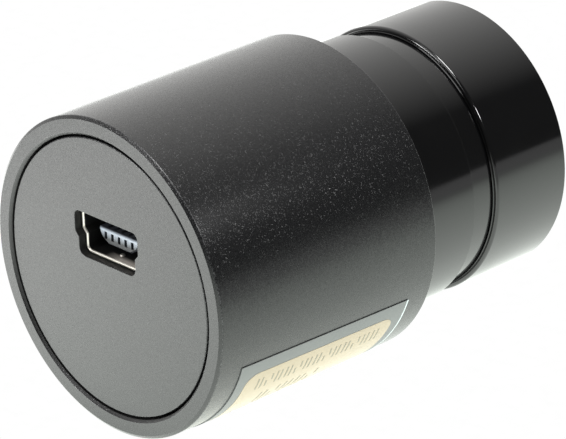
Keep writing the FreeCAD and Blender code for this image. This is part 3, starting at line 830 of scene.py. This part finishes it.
def print_rows(rear, front):
    """The outlines of the plain strokes that stand for the label's print."""
    for top, height, pitch, rear_inset, front_inset in PRINT_ROWS:
        first = rear + rear_inset
        width, lean = pitch * STROKE_WIDTH, pitch * STROKE_LEAN
        for index in range(int((front - front_inset - first) / pitch)):
            y = first + index * pitch
            short = SHORT_STROKE if index % SHORT_EVERY == 1 else 0.0
            yield slanted(top + height * short, top + height, y, width, lean)
            yield slanted(top, top + height * (1 - short), y + pitch * SECOND_STROKE, width, lean)


def make_label():
    low, high = (in_mm(corner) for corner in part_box("label_plate"))
    radius = in_mm(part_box("housing")[1]).x
    sweep = math.radians(LABEL_SWEEP_DEG) * radius
    rear, front = low.y, high.y
    points, faces = patch(rectangle(0, sweep, rear, front, FINE_EDGE), 0, LABEL_FOIL_HEIGHT, radius)
    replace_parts(mesh_piece("label_foil_plate", points, faces, "label_foil"), "label_plate")
    paper = LABEL_FOIL_HEIGHT + PRINT_HEIGHT
    points, faces = patch(rectangle(PANEL_MARGIN_TOP, sweep - PANEL_MARGIN_TOP, rear + PANEL_MARGIN_END,
                                    front - PANEL_MARGIN_END, PANEL_CORNER_R),
                          LABEL_FOIL_HEIGHT, paper, radius)
    mesh_piece("label_panel", points, faces, "label_foil", LABEL_PAPER)
    points, faces = [], []
    for stroke in print_rows(rear + PANEL_MARGIN_END, front - PANEL_MARGIN_END):
        more_points, more_faces = patch(stroke, paper, paper + PRINT_HEIGHT, radius, PRINT_RINGS)
        faces += [tuple(index + len(points) for index in face) for face in more_faces]
        points += more_points
    mesh_piece("label_print", points, faces, "label_foil", LABEL_INK)


make_housing()
make_front_tube()
make_nose_sleeve()
make_rear_cover()
make_usb_shell()
make_dimple()
make_label()

# ---------------------------------------------------------------- stage, light and camera

FLOOR_HALF = 0.30
PAPER_EDGE_X = 0.085
TABLE_END_X = 1.0
PAPER_GLOW = 1.6
# The floor's glow by X, and by Y behind the body, in millimetres
GLOW_STOPS = ((-150, 0.45), (-45, 1.6), (0, 1.06), (50, 0.52), (75, 0.14))
REAR_STOPS = ((-60, 0.96), (-27, 1.24), (-22, 1.0))
# A ramp's colours stay below 1, so the glow is divided by this and multiplied back
GLOW_SCALE = 2
TINT_X = (-40, 40)
TABLE_GLOW = 0.35
WORLD_AXIS = Vector((-0.80, 0.55, 0.25))
WORLD_LEVEL = -0.1
WORLD_SLOPE = 1.33
WORLD_LEAST = 0.05


def flat_sheet(name, x_low, x_high, height, material):
    mesh = bpy.data.meshes.new(name)
    corners = [(x_low, -FLOOR_HALF), (x_high, -FLOOR_HALF), (x_high, FLOOR_HALF), (x_low, FLOOR_HALF)]
    mesh.from_pydata([(x, y, height) for x, y in corners], [], [(0, 1, 2, 3)])
    mesh.materials.append(material)
    sheet = bpy.data.objects.new(name, mesh)
    bpy.context.scene.collection.objects.link(sheet)
    return sheet


def make_floor(height):
    """Pale paper that glows like a light table, brightest on the -X side and just behind the body.

    It ends a little way off on the +X side, where a dim table that the camera can't see goes on.
    The camera sees the paper plain white: its glow shows only in reflections and in its light.
    """
    material, tree, shader = new_material("floor_paper", Roughness=0.6)
    place = millimetres(tree)
    across = add(tree, "ShaderNodeSeparateXYZ", {"Vector": place}).outputs
    first, last = GLOW_STOPS[0][0], GLOW_STOPS[-1][0]
    ramp = add(tree, "ShaderNodeValToRGB", {"Fac": remap(tree, across["X"], first, last)})
    stops = ramp.color_ramp.elements
    while len(stops) < len(GLOW_STOPS):
        stops.new(0.5)
    for stop, (x, glow) in zip(stops, GLOW_STOPS):
        stop.position, stop.color = (x - first) / (last - first), grey(glow / GLOW_SCALE)
    (far, far_glow), (peak, peak_glow), (near, near_glow) = REAR_STOPS
    rear = maths(tree, "MINIMUM", remap(tree, across["Y"], far, peak, far_glow, peak_glow),
                 remap(tree, across["Y"], peak, near, peak_glow, near_glow))
    shaped = maths(tree, "MULTIPLY", ramp.outputs["Color"], rear)
    glow = maths(tree, "MULTIPLY", shaped, GLOW_SCALE * PAPER_GLOW)
    fibres = noise(tree, place, per_mm=0.8, detail=4.0)
    tint = blend_colours(tree, remap(tree, across["X"], *TINT_X), (0.98, 1.0, 0.97, 1),
                         (0.91, 1.0, 0.91, 1))
    join(tree, shader, Base_Color=blend_colours(tree, fibres, grey(0.24), grey(0.28)), Emission_Color=tint,
         Emission_Strength=glow)
    paper = add(tree, "ShaderNodeEmission", {
        "Color": grey(1.0), "Strength": remap(tree, fibres, 0, 1, 0.98, 1.02)})
    seen = add(tree, "ShaderNodeLightPath").outputs["Is Camera Ray"]
    both = add(tree, "ShaderNodeMixShader", {0: seen, 1: shader.outputs[0], 2: paper.outputs[0]})
    tree.links.new(both.outputs[0], tree.nodes["Material Output"].inputs["Surface"])
    flat_sheet("floor", -FLOOR_HALF, PAPER_EDGE_X, height, material)
    table, tree, shader = new_material("table_top", Roughness=0.8, Emission_Strength=TABLE_GLOW)
    shader.inputs["Emission Color"].default_value = grey(1.0)
    mottle = noise(tree, millimetres(tree), per_mm=0.2)
    join(tree, shader, Base_Color=blend_colours(tree, mottle, grey(0.1), grey(0.14)))
    flat_sheet("table", PAPER_EDGE_X, TABLE_END_X, height, table).visible_camera = False


def make_world():
    """Soft light that is bright on the -X side and fades to a dim room on the +X side.

    The camera sees it plain white.
    """
    world = bpy.data.worlds.new("studio")
    world.use_nodes = True
    tree = world.node_tree
    tree.nodes.clear()
    way = add(tree, "ShaderNodeTexCoord").outputs["Generated"]
    towards = add(tree, "ShaderNodeVectorMath", {
        0: way, 1: WORLD_AXIS}, operation="DOT_PRODUCT").outputs["Value"]
    sloped = maths(tree, "ADD", maths(tree, "MULTIPLY", towards, WORLD_SLOPE), WORLD_LEVEL)
    level = maths(tree, "MAXIMUM", sloped, WORLD_LEAST)
    soft = add(tree, "ShaderNodeBackground", {"Color": (1.0, 0.995, 0.975, 1), "Strength": level})
    paper = add(tree, "ShaderNodeBackground", {"Color": grey(1.0), "Strength": 1.0})
    seen = add(tree, "ShaderNodeLightPath").outputs["Is Camera Ray"]
    both = add(tree, "ShaderNodeMixShader", {0: seen, 1: soft.outputs[0], 2: paper.outputs[0]})
    add(tree, "ShaderNodeOutputWorld", {"Surface": both.outputs[0]})
    bpy.context.scene.world = world


def area_light(name, place, aim, size, watts):
    """A rectangular light of (width, height) metres, turned to face its aim."""
    data = bpy.data.lights.new(name, "AREA")
    data.shape = "RECTANGLE"
    data.energy, data.size, data.size_y = watts, size[0], size[1]
    lamp = bpy.data.objects.new(name, data)
    lamp.location = place
    lamp.rotation_euler = (Vector(aim) - Vector(place)).to_track_quat("-Z", "Y").to_euler()
    bpy.context.scene.collection.objects.link(lamp)


# Each light's name, place, aim, (width, height) and watts
LIGHTS = (
    ("glint", (0.084, 0.015, 0.070), (0.011, -0.012, 0.007), (0.016, 0.016), 0.022),
    ("softbox", (0.065, 0.01, 0.495), (0, 0, 0), (0.16, 0.16), 1.3),
    ("fill", (-0.19, -0.39, 0.126), (0, 0, 0), (0.12, 0.12), 0.8),
    ("window", (-0.015, -0.31, 0.39), (0, 0, 0), (0.36, 0.20), 0.4),
)

CAMERA_AZIMUTH = math.radians(48.066)
CAMERA_ELEVATION = math.radians(23.831)
CAMERA_ROLL = math.radians(-2.337)
CAMERA_LENS = 275.69
CAMERA_DISTANCE = 354.41 * MM
CAMERA_AIM = Vector((0.649, -4.900, -0.730)) * MM


def make_camera():
    """A long lens, above, behind and to the right of the camera body, rolled a little."""
    back = Vector((math.sin(CAMERA_AZIMUTH) * math.cos(CAMERA_ELEVATION),
                   -math.cos(CAMERA_AZIMUTH) * math.cos(CAMERA_ELEVATION), math.sin(CAMERA_ELEVATION)))
    level = Vector((math.cos(CAMERA_AZIMUTH), math.sin(CAMERA_AZIMUTH), 0))
    right = Matrix.Rotation(CAMERA_ROLL, 3, back) @ level
    turn = Matrix((right, back.cross(right), back)).transposed()
    data = bpy.data.cameras.new("view")
    data.lens = CAMERA_LENS
    data.clip_start, data.clip_end = 0.01, 10
    camera = bpy.data.objects.new("view", data)
    camera.matrix_world = Matrix.Translation(CAMERA_AIM + back * CAMERA_DISTANCE) @ turn.to_4x4()
    bpy.context.scene.collection.objects.link(camera)
    bpy.context.scene.camera = camera


make_floor(cad_box[0].z)
make_world()
for lamp in LIGHTS:
    area_light(*lamp)
make_camera()
bpy.context.scene.view_settings.view_transform = "Standard"
